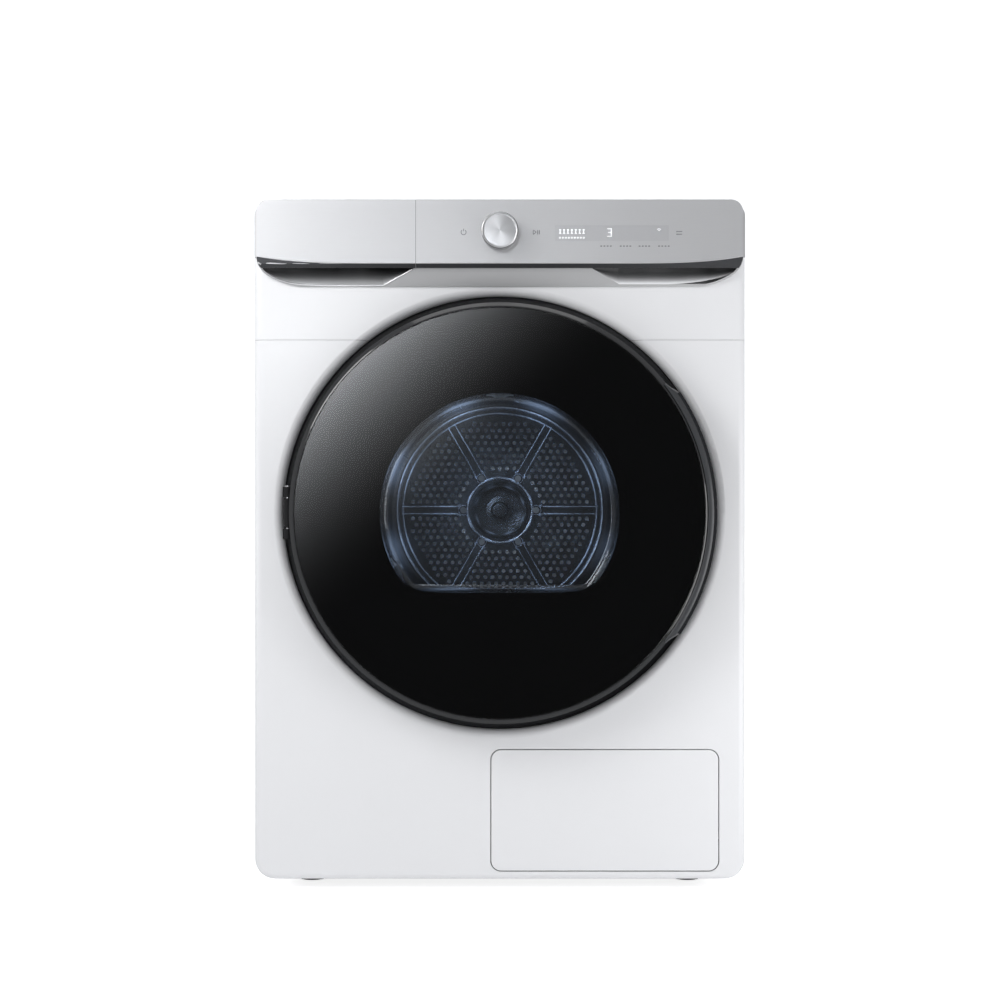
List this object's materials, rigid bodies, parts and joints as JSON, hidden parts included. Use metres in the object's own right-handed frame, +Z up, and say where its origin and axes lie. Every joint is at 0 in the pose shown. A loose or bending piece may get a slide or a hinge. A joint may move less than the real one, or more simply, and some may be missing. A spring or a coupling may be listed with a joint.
{
  "type": "clothes dryer",
  "caption": "Front-loading heat-pump clothes dryer with a round dark glass door, silver control panel with knob, water tank drawer and service cover.",
  "frame": {"origin": "on the floor under the middle of the footprint, with the feet screwed fully in", "axes": "+Z up, the door faces -Y, +X to the viewer's right"},
  "size_m": [0.686, 0.827, 0.962],
  "materials": {
    "body_white": "smooth white enamel with a satin gloss",
    "brushed_silver": "fine horizontal brushing",
    "silver_plastic": "silver paint on plastic, satin",
    "spun_metal": "spun circular brushing, chamfered edge",
    "smoked_window": "smoked translucent window",
    "dark_plastic": "fine moulded grain",
    "door_gloss": "dark chrome-like gloss",
    "door_glass": "tempered glass with a dark printed back",
    "bowl_glass": "clear moulded glass",
    "seal_rubber": "soft matte",
    "belt_rubber": "ribbed matte",
    "foot_rubber": "matte",
    "drum_steel": "stainless sheet, pressed and punched",
    "bearing_steel": "ground steel",
    "bolt_steel": "bright zinc",
    "galvanised": "galvanised sheet",
    "base_grey": "glass-filled moulding",
    "inner_plastic": "plain moulding",
    "tank_plastic": "translucent blow moulding",
    "filter_plastic": "moulded frame with fine mesh",
    "lifter_plastic": "smooth moulding",
    "circuit_green": "lacquered board",
    "felt": "pressed wool felt",
    "motor_metal": "dark enamel",
    "compressor_paint": "black enamel",
    "coil_aluminium": "thin fins",
    "lock_plastic": "blue moulded handles",
    "hinge_black": "black powder coat"
  },
  "bodies": {
    "cabinet": {"base_pan": "base_grey", "compressor": "compressor_paint", "control_board": "circuit_green", "control_fascia": "brushed_silver", "control_housing": "silver_plastic", "display_window": "smoked_window", "door_hinge_bracket": "hinge_black", "door_hinge_pin": "bearing_steel", "door_recess_ring": "dark_plastic", "drain_pump": "dark_plastic", "drum_bearing": "bearing_steel", "drum_belt": "belt_rubber", "drum_felt_seal": "felt", "filter_duct": "inner_plastic", "front_bulkhead": "galvanised", "front_panel_lower": "body_white", "front_panel_upper": "body_white", "heat_exchanger_coils": "coil_aluminium", "heat_exchanger_door": "inner_plastic", "heat_exchanger_duct": "base_grey", "idler_spring": "bearing_steel", "left_side_panel": "body_white", "motor_body": "motor_metal", "power_inlet_gland": "dark_plastic", "rear_bulkhead": "galvanised", "rear_cover": "galvanised", "rear_duct": "galvanised", "rear_service_cover": "galvanised", "right_side_panel": "body_white", "roller_axles": "bearing_steel", "tank_housing": "inner_plastic", "top_cover": "body_white"},
    "door": {"door_ring": "door_gloss", "door_glass": "door_glass", "door_inner_frame": "dark_plastic", "door_bowl": "bowl_glass", "door_gasket": "seal_rubber", "door_hinge_leaf": "hinge_black"},
    "drum": {"drum_shell": "drum_steel", "drum_back": "drum_steel", "drum_lifters": "lifter_plastic", "drum_shaft": "bearing_steel", "drum_bolts": "bolt_steel"},
    "motor_rotor": {"motor_shaft": "bearing_steel", "fan_impeller": "dark_plastic"},
    "idler_swing_arm": {"idler_arm": "galvanised"},
    "idler_wheel": {"idler_pulley": "dark_plastic"},
    "roller_left": {"support_roller_left": "belt_rubber"},
    "roller_right": {"support_roller_right": "belt_rubber"},
    "selector_knob": {"knob": "spun_metal"},
    "tank_drawer": {"tank_drawer_front": "brushed_silver", "water_tank": "tank_plastic"},
    "filter": {"lint_filter": "filter_plastic"},
    "cover": {"service_cover": "body_white"},
    "lock_left": {"turn_lock_left": "lock_plastic"},
    "lock_right": {"turn_lock_right": "lock_plastic"},
    "foot_fl": {"foot_front_left": "foot_rubber"},
    "foot_fr": {"foot_front_right": "foot_rubber"},
    "foot_rl": {"foot_rear_left": "foot_rubber"},
    "foot_rr": {"foot_rear_right": "foot_rubber"}
  },
  "joints": [
    {"name": "door_hinge", "type": "hinge", "parent": "cabinet", "child": "door", "pos_m": [-0.292, -0.386, 0.5285], "axis": [0, 0, -1], "range_deg": [0, 150]},
    {"name": "drum_spin", "type": "hinge", "parent": "cabinet", "child": "drum", "pos_m": [0, 0.285, 0.5285], "axis": [0, 1, 0], "continuous": true},
    {"name": "motor_spin", "type": "hinge", "parent": "cabinet", "child": "motor_rotor", "pos_m": [-0.07, 0.03, 0.125], "axis": [0, 1, 0], "continuous": true},
    {"name": "idler_swing", "type": "hinge", "parent": "cabinet", "child": "idler_swing_arm", "pos_m": [-0.118, -0.044, 0.092], "axis": [0, 1, 0], "range_deg": [0, 6], "stiffness_Nm_per_rad": 2, "springref_deg": -17.19},
    {"name": "idler_wheel_spin", "type": "hinge", "parent": "idler_swing_arm", "child": "idler_wheel", "pos_m": [-0.15, -0.06, 0.16], "axis": [0, 1, 0], "continuous": true},
    {"name": "roller_left_spin", "type": "hinge", "parent": "cabinet", "child": "roller_left", "pos_m": [-0.20589, -0.248, 0.28314], "axis": [0, 1, 0], "continuous": true},
    {"name": "roller_right_spin", "type": "hinge", "parent": "cabinet", "child": "roller_right", "pos_m": [0.20589, -0.248, 0.28314], "axis": [0, 1, 0], "continuous": true},
    {"name": "knob_turn", "type": "hinge", "parent": "cabinet", "child": "selector_knob", "pos_m": [0, -0.392, 0.9155], "axis": [0, 1, 0], "continuous": true},
    {"name": "drawer_slide", "type": "slide", "parent": "cabinet", "child": "tank_drawer", "axis": [0, -1, 0], "range_m": [0, 0.45]},
    {"name": "filter_lift", "type": "slide", "parent": "cabinet", "child": "filter", "axis": [0, 0, 1], "range_m": [0, 0.085]},
    {"name": "cover_hinge", "type": "hinge", "parent": "cabinet", "child": "cover", "pos_m": [0.1466, -0.353, 0.0316], "axis": [1, 0, 0], "range_deg": [0, 48]},
    {"name": "lock_left_turn", "type": "hinge", "parent": "cabinet", "child": "lock_left", "pos_m": [0.076, -0.311, 0.118], "axis": [0, 1, 0], "range_deg": [0, 90]},
    {"name": "lock_right_turn", "type": "hinge", "parent": "cabinet", "child": "lock_right", "pos_m": [0.286, -0.311, 0.118], "axis": [0, 1, 0], "range_deg": [0, 90]},
    {"name": "foot_fl_screw", "type": "slide", "parent": "cabinet", "child": "foot_fl", "axis": [0, 0, -1], "range_m": [0, 0.022]},
    {"name": "foot_fr_screw", "type": "slide", "parent": "cabinet", "child": "foot_fr", "axis": [0, 0, -1], "range_m": [0, 0.022]},
    {"name": "foot_rl_screw", "type": "slide", "parent": "cabinet", "child": "foot_rl", "axis": [0, 0, -1], "range_m": [0, 0.022]},
    {"name": "foot_rr_screw", "type": "slide", "parent": "cabinet", "child": "foot_rr", "axis": [0, 0, -1], "range_m": [0, 0.022]}
  ],
  "couplings": [
    {"joint": "motor_spin", "follows": "drum_spin", "ratio": 20.714},
    {"joint": "roller_left_spin", "follows": "drum_spin", "ratio": -9.6667},
    {"joint": "roller_right_spin", "follows": "drum_spin", "ratio": -9.6667}
  ]
}
